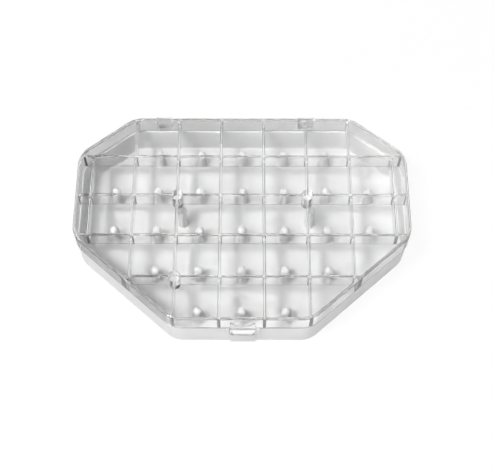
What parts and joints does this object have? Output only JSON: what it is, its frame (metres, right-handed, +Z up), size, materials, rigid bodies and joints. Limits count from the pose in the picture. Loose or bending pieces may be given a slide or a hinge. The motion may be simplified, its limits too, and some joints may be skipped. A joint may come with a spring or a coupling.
{
  "type": "bobbin box",
  "caption": "Flat eight-sided hinged plastic box for sewing-machine bobbins, with a peg for each bobbin in the milky base and a lattice of dividers in the clear lid.",
  "frame": {"origin": "centre of the base's flat underside, below the middle of the compartment grid", "axes": "+X to the right along the long side seen from the front, +Y to the hinges at the rear, +Z up"},
  "size_m": [0.1766, 0.1259, 0.03],
  "materials": {
    "lid_plastic": "clear moulded plastic, high gloss",
    "base_plastic": "milky translucent moulded plastic, soft gloss",
    "hinge_pin": "translucent moulded plastic"
  },
  "bodies": {
    "base": {"base_tray": "base_plastic", "bobbin_pegs_row_1": "base_plastic", "bobbin_pegs_row_2": "base_plastic", "bobbin_pegs_row_3": "base_plastic", "bobbin_pegs_row_4": "base_plastic", "bobbin_pegs_row_5": "base_plastic", "support_posts": "base_plastic", "catch_block": "base_plastic", "catch_guides": "base_plastic", "hinge_ears_left": "base_plastic", "hinge_ears_right": "base_plastic", "hinge_pin_left": "hinge_pin", "hinge_pin_right": "hinge_pin"},
    "lid": {"lid_shell": "lid_plastic", "divider_along_1": "lid_plastic", "divider_along_2": "lid_plastic", "divider_along_3": "lid_plastic", "divider_along_4": "lid_plastic", "divider_across_1": "lid_plastic", "divider_across_2": "lid_plastic", "divider_across_3": "lid_plastic", "divider_across_4": "lid_plastic", "divider_across_5": "lid_plastic", "divider_across_6": "lid_plastic", "divider_end_left": "lid_plastic", "divider_end_right": "lid_plastic", "divider_bosses": "lid_plastic", "catch_tab": "lid_plastic", "hinge_lug_left": "lid_plastic", "hinge_lug_right": "lid_plastic"}
  },
  "joints": [
    {"name": "lid_hinge", "type": "hinge", "parent": "base", "child": "lid", "pos_m": [0, 0.0619, 0.018], "axis": [-1, 0, 0], "range_deg": [0, 180]}
  ]
}
